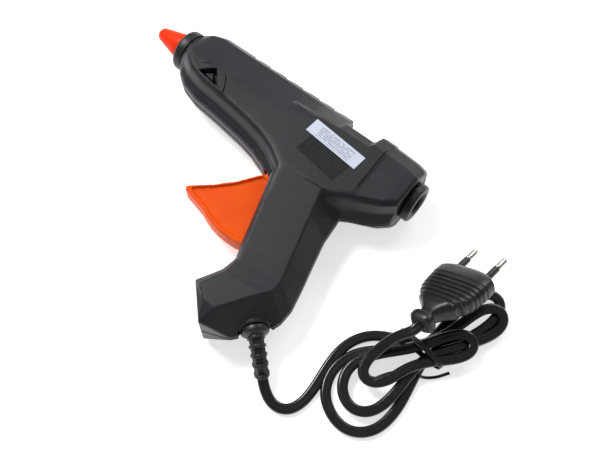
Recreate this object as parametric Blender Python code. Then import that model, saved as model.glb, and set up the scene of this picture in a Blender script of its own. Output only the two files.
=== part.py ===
"""Hot-melt glue gun lying on its right side, with its mains cord, hank and plug.

Lengths are millimetres in the gun's own frame and are turned into metres when a mesh is made:
x runs along the barrel from the nozzle (-x) to the rear, y points to the top of the gun, and
z is the height above the table. The two housing halves meet in the plane z = SIDE.
"""
import math

import bmesh
import bpy
from mathutils import Matrix, Vector

MM = 0.001

# Driving dimensions, millimetres
SIDE = 17.0                      # half the gun's thickness, and the height of the parting plane
WALL = 2.3                       # housing wall
GAP = 0.3                        # clearance between neighbouring pieces
CENTRE = (-0.25, 53.5)          # moves the middle of the gun's base to the origin
NOZZLE_TIP_X = -93.0
REAR_FACE_X = 93.5
STICK_BORE_R = 6.2               # takes an 11.2 mm glue stick
TRIGGER_PIVOT = (24.0, -36.0)
TRIGGER_R = 44.0                 # the trigger's lower edge, about its pivot
TRIGGER_HALF = 5.5
HUB_HALF = 5.8
DRIVE_ARM = 18.5                 # pivot to drive pin
DRIVE_ANGLE = 79.0               # degrees from +x at rest
LEVER_PIVOT = (27.53, -12.2)
GLAND = (70.2, -111.1)           # where the cord leaves the handle
GLAND_ANGLE = -42.0              # degrees from +x
CORD_R = 2.0
ROUND = 24                       # segments of a large round piece
SMALL = 16                       # segments of a small round piece
DEEP = 60.0                      # more than any piece is long, for cutters


def polar(centre, radius, degrees):
    angle = math.radians(degrees)
    return (centre[0] + radius * math.cos(angle), centre[1] + radius * math.sin(angle))


DRIVE_PIN = polar(TRIGGER_PIVOT, DRIVE_ARM, DRIVE_ANGLE)
GLAND_DIR = polar((0.0, 0.0), 1.0, GLAND_ANGLE)


def clear_scene():
    for obj in list(bpy.data.objects):
        bpy.data.objects.remove(obj, do_unlink=True)


def material(name, colour, roughness, metallic=0.0):
    found = bpy.data.materials.get(name)
    if found:
        return found
    mat = bpy.data.materials.new(name)
    mat.use_nodes = True
    shader = mat.node_tree.nodes["Principled BSDF"]
    shader.inputs["Base Color"].default_value = (*colour, 1.0)
    shader.inputs["Roughness"].default_value = roughness
    shader.inputs["Metallic"].default_value = metallic
    return mat


def finish_mesh(name, bm, mat, pivot=(0.0, 0.0, 0.0), facet=False):
    """Makes an object whose origin is at pivot from a bmesh in gun millimetres.

    facet splits its faces into triangles, which keeps warped quads exact for the Booleans.
    """
    bmesh.ops.recalc_face_normals(bm, faces=bm.faces)
    if facet:
        bmesh.ops.triangulate(bm, faces=bm.faces)
    bm.transform(Matrix.Translation(-Vector(pivot)))
    bm.transform(Matrix.Scale(MM, 4))
    mesh = bpy.data.meshes.new(name)
    bm.to_mesh(mesh)
    bm.free()
    mesh.shade_smooth()
    mesh.set_sharp_from_angle(angle=math.radians(30))
    obj = bpy.data.objects.new(name, mesh)
    bpy.context.scene.collection.objects.link(obj)
    obj.location = Vector(pivot) * MM
    obj.parent = ASSEMBLY
    if mat:
        mesh.materials.append(mat)
    else:
        obj.hide_render = True
        obj.display_type = "WIRE"
    return obj


def add_rings(bm, rings, close=False):
    """Joins closed rings of points, all of one length, into a tube with capped ends."""
    loops = [[bm.verts.new(p) for p in ring] for ring in rings]
    count = len(loops[0])
    pairs = list(zip(loops, loops[1:]))
    if close:
        pairs.append((loops[-1], loops[0]))
    for low, high in pairs:
        for i in range(count):
            j = (i + 1) % count
            bm.faces.new((low[i], low[j], high[j], high[i]))
    if not close:
        bm.faces.new(loops[0])
        bm.faces.new(loops[-1])


def loft(name, rings, mat=None, pivot=(0.0, 0.0, 0.0), close=False, facet=False):
    bm = bmesh.new()
    add_rings(bm, rings, close)
    return finish_mesh(name, bm, mat, pivot, facet)


def prism(name, outline, z_low, z_high, mat=None, pivot=(0.0, 0.0, 0.0)):
    """An outline in x and y, extruded between two heights measured from the parting plane."""
    rings = [[(x, y, SIDE + z) for x, y in outline] for z in (z_low, z_high)]
    return loft(name, rings, mat, pivot)


def box(name, low, high, mat=None, pivot=(0.0, 0.0, 0.0)):
    outline = [(low[0], low[1]), (high[0], low[1]), (high[0], high[1]), (low[0], high[1])]
    return prism(name, outline, low[2], high[2], mat, pivot)


def boxes(name, corners, mat=None):
    """Several separate boxes in one mesh, for use as one operand."""
    bm = bmesh.new()
    for low, high in corners:
        outline = [(low[0], low[1]), (high[0], low[1]), (high[0], high[1]), (low[0], high[1])]
        add_rings(bm, [[(x, y, SIDE + z) for x, y in outline] for z in (low[2], high[2])])
    return finish_mesh(name, bm, mat)


def circle(centre, radius, segments, start=0.0):
    step = 360.0 / segments
    return [polar(centre, radius, start + step * i) for i in range(segments)]


def pillar(name, centre, radius, z_low, z_high, mat=None, segments=SMALL, pivot=(0.0, 0.0, 0.0)):
    return prism(name, circle(centre, radius, segments), z_low, z_high, mat, pivot)


def pillars(name, rows, segments=SMALL):
    """Several separate upright cylinders in one mesh: (centre, radius, z_low, z_high)."""
    bm = bmesh.new()
    for centre, radius, z_low, z_high in rows:
        outline = circle(centre, radius, segments)
        add_rings(bm, [[(x, y, SIDE + z) for x, y in outline] for z in (z_low, z_high)])
    return finish_mesh(name, bm, None)


def ring_at(origin, axis, along, radius, segments):
    """A circle of points about a straight axis that isn't upright."""
    axis = Vector(axis).normalized()
    side = Vector((-axis[1], axis[0], 0.0)).normalized()
    up = axis.cross(side)
    middle = Vector(origin) + axis * along
    points = []
    for i in range(segments):
        angle = 2.0 * math.pi * i / segments
        points.append(middle + side * (radius * math.cos(angle)) + up * (radius * math.sin(angle)))
    return points


def turned(name, profile, mat=None, origin=(0.0, 0.0, SIDE), axis=(1.0, 0.0, 0.0),
           segments=ROUND, bored=False):
    """Turns (along, radius) points about an axis; a bored profile is closed on itself."""
    rings = [ring_at(origin, axis, along, radius, segments) for along, radius in profile]
    return loft(name, rings, mat, close=bored)


def modify(obj, other, operation):
    mod = obj.modifiers.new(operation.title(), "BOOLEAN")
    mod.operation = operation
    mod.solver = "EXACT"
    mod.object = other


def cut(obj, *cutters):
    for cutter in cutters:
        modify(obj, cutter, "DIFFERENCE")


def join(obj, *additions):
    for addition in additions:
        modify(obj, addition, "UNION")


# ---------------------------------------------------------------------------- housing shape

# x, top, top flat, corner drop, corner depth, shoulder, side depth, bottom, lip depth
BODY_STATIONS = [
    (-62.0, 16.6, 4.2, 3.6, 8.8, -5.6, 15.4, -17.6, 6.4),
    (-55.6, 19.4, 3.2, 4.2, 8.6, -7.0, 16.4, -21.8, 6.5),
    (-45.0, 19.4, 3.2, 4.4, 8.6, -8.0, 17.0, -25.0, 7.0),
    (-28.0, 19.4, 3.2, 4.4, 8.6, -8.4, 17.0, -26.8, 7.0),
    (-8.0, 19.4, 3.2, 4.4, 8.6, -7.6, 17.0, -29.6, 7.0),
    (3.0, 19.4, 3.2, 4.4, 8.6, -5.4, 17.0, -32.0, 7.0),
    (12.0, 19.4, 3.2, 4.4, 8.6, -2.4, 17.0, -35.2, 7.0),
    (18.0, 19.4, 3.2, 4.4, 8.6, 0.0, 17.0, -38.6, 7.0),
    (24.0, 19.4, 3.2, 4.4, 8.6, 2.5, 17.0, -42.6, 7.0),
    (35.6, 19.4, 3.2, 4.4, 8.6, 3.5, 17.0, -41.0, 7.0),
    (36.6, 12.2, 9.0, 2.0, 13.4, 4.0, 17.0, -41.0, 7.0),
    (55.6, 12.0, 9.0, 2.0, 13.4, 4.0, 17.0, -39.0, 4.0),
    (57.4, 19.8, 6.0, 4.0, 12.2, 7.0, 17.0, -38.4, 3.0),
    (65.6, 19.8, 6.0, 4.0, 12.2, 7.0, 17.0, -33.4, 2.4),
    (66.0, 19.3, 5.8, 4.0, 11.9, 7.0, 16.6, -33.2, 2.4),
    (81.0, 18.3, 5.8, 4.0, 11.9, 6.0, 16.6, -26.0, 2.4),
    (86.4, 17.2, 5.4, 3.8, 11.4, 5.0, 16.2, -21.4, 2.4),
    (88.0, 15.8, 4.6, 3.4, 10.4, 4.0, 15.0, -19.6, 2.4),
]
NOSE_X = -67.2
NOSE_R = 12.6
NOSE_ANGLES = (0, 14, 33, 96, 128, 138, 148, 160, 170, 180)
BELOW = 3.0                      # how far a half reaches past the parting plane before trimming


def body_section(row):
    x, top, flat, drop, corner, shoulder, side, bottom, lip = row
    channel = lip + 1.5 if lip > 5.0 else lip + 4.5
    return [(top, 0.0), (top, flat), (top - drop, corner), (shoulder, side), (bottom + 9.0, side),
            (bottom + 6.4, side - 2.6), (bottom + 5.0, channel), (bottom + 1.5, lip),
            (bottom, lip - 2.0), (bottom, 0.0)]


def nose_section():
    return [(NOSE_R * math.cos(math.radians(a)), NOSE_R * math.sin(math.radians(a)))
            for a in NOSE_ANGLES]


def inset(points, amount):
    """Moves a half section inwards by amount, keeping its ends on the parting plane."""
    if amount == 0.0:
        return points
    lines = []
    for (y0, z0), (y1, z1) in zip(points, points[1:]):
        length = math.hypot(y1 - y0, z1 - z0)
        ny, nz = (z1 - z0) / length, -(y1 - y0) / length
        lines.append((y0 - ny * amount, z0 - nz * amount, y1 - y0, z1 - z0))
    moved = [(lines[0][0], 0.0)]
    for (ya, za, uy, uz), (yb, zb, vy, vz) in zip(lines, lines[1:]):
        det = uy * vz - uz * vy
        if abs(det) < 1e-6:
            moved.append((yb, zb))
            continue
        t = ((yb - ya) * vz - (zb - za) * vy) / det
        moved.append((ya + uy * t, za + uz * t))
    moved.append((lines[-1][0], 0.0))
    return moved


def half_ring(x, points, sign, below):
    closed = [(points[0][0], -below)] + points[1:-1] + [(points[-1][0], -below)]
    return [(x, y, SIDE + sign * depth) for y, depth in closed]


def upper_blank(name, sign, amount, below):
    """The barrel and rear block of one half, inset by amount and shortened by it at both ends."""
    rings = [half_ring(NOSE_X + amount, inset(nose_section(), amount), sign, below)]
    for row in BODY_STATIONS:
        x = min(row[0], BODY_STATIONS[-1][0] - amount)
        rings.append(half_ring(x, inset(body_section(row), amount), sign, below))
    if amount:
        del rings[-2]
    return loft(name, rings, facet=True)


# front edge, side face front, side face rear, rear edge (each x, y), half thickness
HANDLE_STATIONS = [
    ((22.0, -12.0), (24.5, -12.0), (49.0, -12.0), (62.0, -12.0), 16.4),
    ((22.0, -38.0), (24.5, -38.0), (51.0, -31.0), (65.6, -36.5), 16.4),
    ((27.0, -52.0), (29.6, -52.0), (55.5, -47.0), (66.8, -49.0), 15.6),
    ((31.5, -66.0), (34.2, -66.0), (59.6, -61.5), (70.2, -62.5), 15.0),
    ((36.0, -80.5), (38.8, -80.0), (64.0, -76.5), (74.3, -78.0), 14.8),
    ((39.2, -88.5), (42.0, -88.8), (66.6, -86.0), (77.0, -90.0), 15.2),
    ((37.8, -97.5), (40.8, -99.2), (66.3, -91.8), (76.9, -98.5), 16.2),
    ((31.0, -110.5), (35.0, -112.2), (63.6, -96.0), (75.0, -105.5), 17.0),
    ((47.0, -126.8), (42.3, -116.4), (50.0, -116.3), (61.5, -121.3), 17.0),
]
EDGE_FLANGE = 2.2                # half width of the flat edge down the back of the handle


def handle_ring(station, sign, amount, below):
    front, side_front, side_rear, rear, half = station
    across = (Vector(rear) - Vector(front)).normalized() * amount
    front = Vector(front) + across
    side_front = Vector(side_front) + across
    side_rear = Vector(side_rear) - across
    rear = Vector(rear) - across
    half -= amount
    flange = EDGE_FLANGE
    row = [(front, -below), (front, half - 3.6), (side_front, half), (side_rear, half),
           (rear, flange), (rear, -below)]
    return [(p[0], p[1], SIDE + sign * depth) for p, depth in row]


def handle_blank(name, sign, amount, below):
    stations = list(HANDLE_STATIONS)
    if amount:
        last, end = stations[-2], stations[-1]
        keep = 0.80
        mixed = tuple(tuple(a + (b - a) * keep for a, b in zip(p, q))
                      for p, q in zip(last[:4], end[:4]))
        stations[-1] = mixed + (last[4],)
    return loft(name, [handle_ring(s, sign, amount, below) for s in stations], facet=True)


# screws: centre, depth of the head's seat, reach of the left boss, reach of the right boss
SCREWS = [((-50.0, 13.6), 4.2, 6.2, 9.6), ((-10.0, -22.6), 8.6, 12.4, 13.4),
          ((-2.0, 13.6), 4.2, 6.2, 9.6), ((50.0, -26.0), 10.0, 16.0, 16.0),
          ((46.5, -90.0), 8.5, 14.0, 14.0), ((45.0, -109.5), 10.5, 16.0, 16.0),
          ((75.0, 12.2), 7.0, 9.4, 11.8)]
SCREW_TIP = 4.8                  # how far a screw reaches into the left half
SOCKET_FLOOR = 11.8              # the stand socket's floor, from the parting plane
NOTCH_X = (-34.6, -23.1, -11.2, 0.5, 12.3, 23.1)
SADDLES = ((-60.4, 10.0), (-23.0, 10.0), (-1.5, 8.6), (60.0, 8.6), (77.6, 8.6))
RIB = 1.8                        # thickness of a rib
RIB_LOW = -9.0                   # ribs stop here, so that the wires pass below them


def section_at(x):
    """The half section at any x, between the stations on either side of it."""
    if x < BODY_STATIONS[0][0]:
        low, high = (NOSE_X, nose_section()), (BODY_STATIONS[0][0], body_section(BODY_STATIONS[0]))
    else:
        rows = [(a, b) for a, b in zip(BODY_STATIONS, BODY_STATIONS[1:]) if a[0] <= x <= b[0]]
        low, high = [(row[0], body_section(row)) for row in rows[0]]
    t = (x - low[0]) / (high[0] - low[0])
    return [(a[0] + (b[0] - a[0]) * t, a[1] + (b[1] - a[1]) * t)
            for a, b in zip(low[1], high[1])]


def rib(bm, x, radius, sign):
    """A rib across one half, with a round saddle cut in its free edge."""
    outer = [p for p in inset(section_at(x + RIB * 0.5), WALL * 0.6) if p[0] > RIB_LOW]
    outer.append((RIB_LOW, outer[-1][1]))
    steps = 10
    top, low = 0.0, 180.0 - math.degrees(math.acos(-RIB_LOW / radius)) if radius > -RIB_LOW else 180.0
    arc = [(radius * math.cos(math.radians(low + (top - low) * i / steps)),
            radius * math.sin(math.radians(low + (top - low) * i / steps))) for i in range(steps + 1)]
    if radius < -RIB_LOW:
        arc.insert(0, (RIB_LOW, 0.0))
    outline = outer + arc
    add_rings(bm, [[(px, y, SIDE + sign * z) for y, z in outline] for px in (x, x + RIB)])


def works(sign, tag):
    """Ribs that carry the melt chamber, the stick seal, the rear guide and the carriage rails."""
    bm = bmesh.new()
    for x, radius in SADDLES:
        rib(bm, x, radius, sign)
    ribs = finish_mesh("ribs" + tag, bm, None)
    near, far = (9.0, 15.6) if sign > 0 else (-15.6, -9.0)
    rails = [((6.0, 2.1, near), (48.0, 3.7, far)), ((6.0, -3.7, near), (48.0, -2.1, far))]
    return ribs, boxes("rails" + tag, rails)


def bosses(sign, tag):
    rows = []
    for centre, _, left_reach, right_reach in SCREWS:
        reach = (0.0, left_reach) if sign > 0 else (-right_reach, 0.0)
        rows.append((centre, 3.1 if sign > 0 else 3.9, *reach))
    rows.append((TRIGGER_PIVOT, 4.4, *((6.4, 16.0) if sign > 0 else (-16.0, -6.4))))
    return pillars("bosses" + tag, rows, 12)


def gland_frame(along, across=0.0):
    x = GLAND[0] + GLAND_DIR[0] * along - GLAND_DIR[1] * across
    return (x, GLAND[1] + GLAND_DIR[1] * along + GLAND_DIR[0] * across)


def gland_turned(name, profile, segments=16, bored=False, mat=None):
    return turned(name, profile, mat, (GLAND[0], GLAND[1], SIDE), (*GLAND_DIR, 0.0), segments, bored)


def trigger_slot(tag):
    """The space that the trigger sweeps, as an angular sector about its pivot."""
    steps = 14
    outline = [polar(TRIGGER_PIVOT, TRIGGER_R + 0.9, -150.0 + 114.0 * i / steps)
               for i in range(steps + 1)]
    outline += [(38.0, -36.0), (34.0, -29.0), (17.4, -29.0), (16.6, -36.4)]
    half = TRIGGER_HALF + 0.7
    return prism("trigger_slot" + tag, outline, -half, half)


def stand_outline(margin):
    """The stand socket's triangle, grown outwards by margin."""
    corners = [(-49.0, -13.6), (-41.8, -7.4), (-33.4, -16.2)]
    middle = (sum(p[0] for p in corners) / 3.0, sum(p[1] for p in corners) / 3.0)
    grow = 1.0 + margin / 3.6
    return [(middle[0] + (x - middle[0]) * grow, middle[1] + (y - middle[1]) * grow)
            for x, y in corners]


def stand_backing(sign, tag):
    low, high = (SOCKET_FLOOR - 1.6, SOCKET_FLOOR + 3.0)
    if sign < 0:
        low, high = -high, -low
    return prism("stand_backing" + tag, stand_outline(1.3), low, high)


def stand_recess(sign, tag):
    """A triangular socket for one foot of a wire stand, with a triangular plate left in it."""
    plate = [(-45.4, -13.3), (-41.6, -10.4), (-38.4, -14.4)]
    low, high = (SOCKET_FLOOR, 20.0) if sign > 0 else (-20.0, -SOCKET_FLOOR)
    recess = prism("stand_recess" + tag, stand_outline(0.0), low, high)
    low, high = (SOCKET_FLOOR - 1.0, 15.8) if sign > 0 else (-15.8, 1.0 - SOCKET_FLOOR)
    cut(recess, prism("stand_plate" + tag, plate, low, high))
    return recess


def housing_half(name, sign, mat):
    tag = "_left" if sign > 0 else "_right"
    shell = upper_blank(name, sign, 0.0, BELOW)
    shell.name = name
    shell.hide_render = False
    shell.display_type = "TEXTURED"
    shell.data.materials.append(mat)
    join(shell, handle_blank("handle_skin" + tag, sign, 0.0, BELOW + 0.5))
    cut(shell, upper_blank("barrel_hollow" + tag, sign, WALL, BELOW + 3.0))
    cut(shell, handle_blank("handle_hollow" + tag, sign, WALL, BELOW + 3.5))
    trim = (-120.0, -150.0, -DEEP), (120.0, 50.0, -0.5 * GAP)
    if sign < 0:
        trim = (-120.0, -150.0, 0.5 * GAP), (120.0, 50.0, DEEP)
    cut(shell, box("trim" + tag, *trim))
    ribs, rails = works(sign, tag)
    posts = bosses(sign, tag)
    outside = upper_blank("outside" + tag, sign, 1.0, BELOW)
    join(outside, handle_blank("outside_handle" + tag, sign, 1.0, BELOW + 0.5))
    modify(posts, outside, "INTERSECT")
    join(shell, ribs, rails, posts, stand_backing(sign, tag))
    neck = gland_turned("gland_boss" + tag, [(-12.0, 8.6), (-3.6, 8.6)])
    join(shell, neck)
    if sign > 0:
        join(shell, cord_saddle(), pillar("spring_post", SPRING_POST, 1.3, 0.0, 15.0))
    parting = (-120.0, -150.0, -DEEP), (120.0, 50.0, 0.5 * GAP)
    if sign < 0:
        parting = (-120.0, -150.0, -0.5 * GAP), (120.0, 50.0, DEEP)
    cut(shell, box("parting" + tag, *parting))
    cut(shell, turned("nose_hole" + tag, [(-70.0, 11.3), (-62.0, 11.3)]))
    cut(shell, turned("rear_hole" + tag, [(81.0, 9.1), (95.0, 9.1)]))
    cut(shell, trigger_slot(tag), stand_recess(sign, tag))
    cut(shell, gland_turned("gland_seat" + tag, [(-3.3, 9.2), (9.0, 9.2)]))
    cut(shell, gland_turned("gland_hole" + tag, [(-14.0, 4.6), (2.0, 4.6)]))
    cut(shell, gland_turned("gland_groove" + tag, [(-9.6, 7.0), (-6.4, 7.0)]))
    cut_screw_holes(shell, sign, tag)
    cut(shell, ridge_notches(tag))
    return shell


def cut_screw_holes(shell, sign, tag):
    if sign > 0:
        rows = [(row[0], 1.6, -1.0, SCREW_TIP + 0.4) for row in SCREWS]
        rows.append((TRIGGER_PIVOT, 2.2, 5.0, 12.6))
        rows += [(clamp_screw(side), 1.5, -1.0, 10.6) for side in (-1, 1)]
        cut(shell, pillars("screw_holes" + tag, rows, 12))
        return
    rows = [(row[0], 1.7, -row[1] - 1.0, 1.0) for row in SCREWS]
    rows.append((TRIGGER_PIVOT, 2.2, -12.6, -5.0))
    cut(shell, pillars("screw_holes" + tag, rows, 12))
    cut(shell, pillars("counterbores" + tag, [(row[0], 3.1, -25.0, -row[1]) for row in SCREWS], 12))


def ridge_notches(tag):
    """Saw-shaped steps along the top of the barrel."""
    bm = bmesh.new()
    for x in NOTCH_X:
        outline = [(x, 17.7), (x + 5.6, 19.5), (x + 5.6, 21.0), (x - 0.5, 21.0), (x - 0.5, 19.2)]
        add_rings(bm, [[(px, py, SIDE + z) for px, py in outline] for z in (-7.0, 7.0)])
    return finish_mesh("ridge_notches" + tag, bm, None)


def clamp_screw(side):
    return gland_frame(-17.5, 6.6 * side)


def cord_saddle():
    """The block in the left half that the cord clamp is screwed to."""
    outline = [gland_frame(a, c) for a, c in ((-20.6, -9.8), (-14.4, -9.8), (-14.4, 9.8), (-20.6, 9.8))]
    block = prism("cord_saddle", outline, 0.0, 15.2)
    cut(block, gland_turned("saddle_groove", [(-22.0, CORD_R + 0.4), (-12.0, CORD_R + 0.4)], SMALL))
    return block


# ---------------------------------------------------------------------------- hot end

def hot_end():
    brass = material("nozzle_brass", (0.60, 0.47, 0.24), 0.35, 1.0)
    tip = NOZZLE_TIP_X
    turned("nozzle", [(tip, 1.0), (tip, 2.0), (-90.5, 2.4), (-78.0, 4.6), (-72.0, 5.4), (-71.6, 7.0),
                      (-66.5, 7.0), (-66.4, 4.6), (-58.2, 4.6), (-58.2, 3.2), (-76.0, 3.2),
                      (-88.0, 1.0)], brass, segments=24, bored=True)
    silicone = material("orange_silicone", (0.95, 0.13, 0.02), 0.5)
    turned("nozzle_sleeve", [(-91.6, 2.6), (-91.8, 3.3), (-91.2, 3.7), (-77.0, 7.7), (-73.0, 7.7),
                             (-73.0, 5.7), (-78.0, 4.95)], silicone, bored=True)
    black = material("black_plastic", (0.030, 0.032, 0.036), 0.5)
    turned("nozzle_collar", [(-74.2, 8.1), (-74.4, 9.2), (-73.4, 11.6), (-72.4, 12.4), (-67.5, 12.4),
                             (-67.5, 11.0), (-62.6, 11.0), (-62.6, 8.6), (-66.0, 8.1)], black,
           bored=True)
    alloy = material("cast_aluminium", (0.62, 0.63, 0.65), 0.45, 1.0)
    chamber = turned("melt_chamber", [(-66.0, 5.0), (-66.0, 7.9), (-62.0, 7.9), (-62.0, 9.6),
                                      (-20.0, 9.6), (-20.0, 7.7), (-10.0, 7.7), (-10.0, 6.0),
                                      (-57.4, 6.0), (-57.8, 5.0)], alloy, bored=True)
    block = box("heater_block", (-49.0, -15.2, -7.1), (-24.0, -7.0, 7.1))
    cut(block, turned("block_bore", [(-58.0, 6.5), (-22.0, 6.5)]))
    join(chamber, block)
    cut(chamber, box("heater_pocket", (-51.0, -14.0, -5.8), (-22.0, -9.4, 5.8)))
    ceramic = material("heater_ceramic", (0.75, 0.72, 0.66), 0.6)
    box("ptc_heater", (-47.0, -12.9, -4.9), (-26.0, -10.5, 4.9), ceramic)
    film = material("insulating_film", (0.55, 0.26, 0.06), 0.35)
    insulator = box("heater_insulator", (-48.5, -13.7, -5.5), (-24.5, -9.7, 5.5), film)
    cut(insulator, box("insulator_bore", (-51.0, -13.2, -5.2), (-22.0, -10.2, 5.2)))
    steel = material("spring_steel", (0.48, 0.49, 0.51), 0.3, 1.0)
    clip = box("heater_clip", (-41.0, -16.4, -8.3), (-32.0, -9.4, 8.3), steel)
    cut(clip, box("clip_space", (-50.0, -15.5, -7.4), (-20.0, -5.0, 7.4)))
    rubber = material("red_silicone", (0.45, 0.05, 0.03), 0.6)
    turned("stick_seal", [(-19.6, 8.0), (-19.6, 9.2), (-9.4, 9.2), (-8.6, 8.2), (3.0, 8.2),
                          (3.0, 7.2), (1.0, 5.9), (-9.4, 5.9), (-9.7, 8.0)], rubber, bored=True)
    clamp = turned("seal_clamp", [(-17.4, 9.5), (-17.4, 10.3), (-12.4, 10.3), (-12.4, 9.5)], steel,
                   bored=True)
    ears = box("clamp_ears", (-17.0, 9.9, -2.2), (-12.8, 14.0, 2.2))
    join(clamp, ears)
    cut(clamp, box("clamp_split", (-19.0, 8.5, -0.7), (-10.0, 16.0, 0.7)))
    turned("rear_guide", [(58.0, STICK_BORE_R), (58.0, 8.2), (82.3, 8.2), (82.3, 10.8), (85.2, 10.8),
                          (85.2, 8.7), (88.3, 8.7), (88.3, 10.4), (89.0, 11.3), (92.6, 11.3),
                          (REAR_FACE_X, 10.4), (REAR_FACE_X, 7.4), (92.4, STICK_BORE_R)], black,
           bored=True)


# ---------------------------------------------------------------------------- feed mechanism

def trigger_outline(shrink=0.0):
    """Finger edge from the barrel down to the tip, then the arc about the pivot."""
    arc_steps = 9
    outline = [(19.2, -37.0), (15.6, -41.5), (8.6, -51.3), (0.0, -60.4), (-9.6, -68.6),
               (-11.2, -70.4), (-10.2, -72.0), (-5.0, -73.2)]
    outline += [polar(TRIGGER_PIVOT, TRIGGER_R, -116.0 + 54.0 * i / arc_steps)
                for i in range(arc_steps + 1)]
    outline.append(polar(TRIGGER_PIVOT, 5.0, -20.0))
    if not shrink:
        return outline
    middle = (13.0, -60.0)
    return [(x + (middle[0] - x) * shrink, y + (middle[1] - y) * shrink) for x, y in outline]


def trigger():
    orange = material("orange_plastic", (1.0, 0.20, 0.02), 0.4)
    pivot = (*TRIGGER_PIVOT, SIDE)
    body = prism("trigger", trigger_outline(), -TRIGGER_HALF, TRIGGER_HALF, orange, pivot)
    panel = trigger_outline(0.14)
    for low, high in ((-9.0, -TRIGGER_HALF + 1.2), (TRIGGER_HALF - 1.2, 9.0)):
        cut(body, prism("panel%d" % low, panel, low, high))
    join(body, pillar("trigger_hub", TRIGGER_PIVOT, 5.4, -HUB_HALF, HUB_HALF, segments=24))
    for side, low, high in (("a", 2.2, 4.2), ("b", -4.2, -2.2)):
        prong = prism("prong_" + side, arm_outline(), low, high)
        join(body, prong)
    cut(body, pillar("pivot_bore", TRIGGER_PIVOT, 2.2, -10.0, 10.0))
    cut(body, pillar("drive_bore", DRIVE_PIN, 1.75, -6.0, 6.0))
    steel = material("spring_steel", (0.48, 0.49, 0.51), 0.3, 1.0)
    pillar("trigger_pin", TRIGGER_PIVOT, 1.95, -12.2, 12.2, steel)
    pillar("drive_pin", DRIVE_PIN, 1.5, -4.3, 4.3, steel, pivot=pivot)


def arm_outline():
    """The arm from the trigger's hub up to the drive pin, with a round end."""
    along = Vector(DRIVE_PIN) - Vector(TRIGGER_PIVOT)
    across = Vector((-along[1], along[0])).normalized()
    hub = Vector(TRIGGER_PIVOT)
    points = [tuple(hub - across * 4.2), tuple(hub + across * 4.2)]
    points.reverse()
    end = [polar(DRIVE_PIN, 2.9, DRIVE_ANGLE + 90.0 - 180.0 * i / 6) for i in range(7)]
    return points[:1] + end + points[1:]


SPRING_POST = (62.5, -15.3)
CARRIAGE_POST = (41.0, -15.3)


def feed_carriage():
    grey = material("nylon", (0.66, 0.65, 0.60), 0.5)
    body = turned("feed_carriage", [(14.0, 8.3), (44.0, 8.3)], grey)
    tabs = boxes("carriage_tabs", [((16.0, -1.7, -10.6), (42.0, 1.7, 10.6))])
    cheeks = boxes("carriage_cheeks", [((20.0, -15.8, 4.6), (35.0, -4.6, 6.4)),
                                       ((20.0, -15.8, -6.4), (35.0, -4.6, -4.6))])
    lug = box("spring_lug", (38.0, -17.4, -1.8), (43.4, -7.0, 0.2))
    join(body, tabs, cheeks, lug, pillar("lug_post", CARRIAGE_POST, 1.2, -1.0, 3.6))
    cut(body, turned("carriage_bore", [(10.0, STICK_BORE_R), (48.0, STICK_BORE_R)]))
    cut(body, box("lever_window", (15.5, -18.0, -4.5), (32.5, -4.0, 4.5)))
    cut(body, pillar("lever_bore", LEVER_PIVOT, 1.75, -9.0, 9.0))
    steel = material("spring_steel", (0.48, 0.49, 0.51), 0.3, 1.0)
    pillar("grip_lever_pin", LEVER_PIVOT, 1.5, -6.5, 6.5, steel)


def grip_lever():
    """A toothed lever: its forked tail rides on the drive pin and its head bites the stick."""
    steel = material("lever_steel", (0.40, 0.41, 0.43), 0.4, 1.0)
    x, y = LEVER_PIVOT
    outline = [(x + 3.6, y - 8.4), (x + 1.75, y - 8.4), (x + 1.75, y - 3.4), (x - 1.75, y - 3.4),
               (x - 1.75, y - 8.4), (x - 3.6, y - 8.4), (x - 3.6, y - 1.0)]
    teeth = 4
    pitch = 1.5
    for i in range(teeth):
        outline += [(x - 11.5 + pitch * i, y + 3.6), (x - 11.0 + pitch * i, y + 5.2)]
    outline.insert(7, (x - 10.5, y + 2.0))
    outline += [(x - 4.6, y + 3.6), (x, y + 3.2), (x + 3.6, y + 1.0)]
    lever = prism("grip_lever", outline, -1.8, 1.8, steel, (*LEVER_PIVOT, SIDE))
    cut(lever, pillar("grip_bore", LEVER_PIVOT, 1.75, -5.0, 5.0))


def sweep(name, path, radius, mat, resolution=2, parent_gap=0.0):
    """A round wire or cord along points in gun millimetres, with filled ends."""
    curve = bpy.data.curves.new(name, "CURVE")
    curve.dimensions = "3D"
    curve.bevel_depth = radius * MM
    curve.bevel_resolution = resolution
    curve.use_fill_caps = True
    spline = curve.splines.new("POLY")
    spline.points.add(len(path) - 1)
    for point, co in zip(spline.points, path):
        point.co = (co[0] * MM, co[1] * MM, co[2] * MM, 1.0)
    obj = bpy.data.objects.new(name, curve)
    bpy.context.scene.collection.objects.link(obj)
    obj.parent = ASSEMBLY
    curve.materials.append(mat)
    return obj


def smooth_route(points, spacing):
    """Points at about even spacing on a Catmull-Rom curve through the given ones."""
    pts = [Vector(p) for p in points]
    pts = [pts[0] * 2 - pts[1]] + pts + [pts[-1] * 2 - pts[-2]]
    dense = []
    for a, b, c, d in zip(pts, pts[1:], pts[2:], pts[3:]):
        for i in range(12):
            t = i / 12
            dense.append(0.5 * ((2 * b) + (c - a) * t + (2 * a - 5 * b + 4 * c - d) * t * t
                                + (3 * b - 3 * c + d - a) * t ** 3))
    dense.append(pts[-2])
    lengths = [0.0]
    for p, q in zip(dense, dense[1:]):
        lengths.append(lengths[-1] + (q - p).length)
    count = max(2, round(lengths[-1] / spacing))
    route = []
    k = 0
    for i in range(count + 1):
        target = lengths[-1] * i / count
        while k < len(dense) - 2 and lengths[k + 1] < target:
            k += 1
        span = lengths[k + 1] - lengths[k]
        route.append(dense[k].lerp(dense[k + 1], (target - lengths[k]) / span))
    return route


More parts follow.
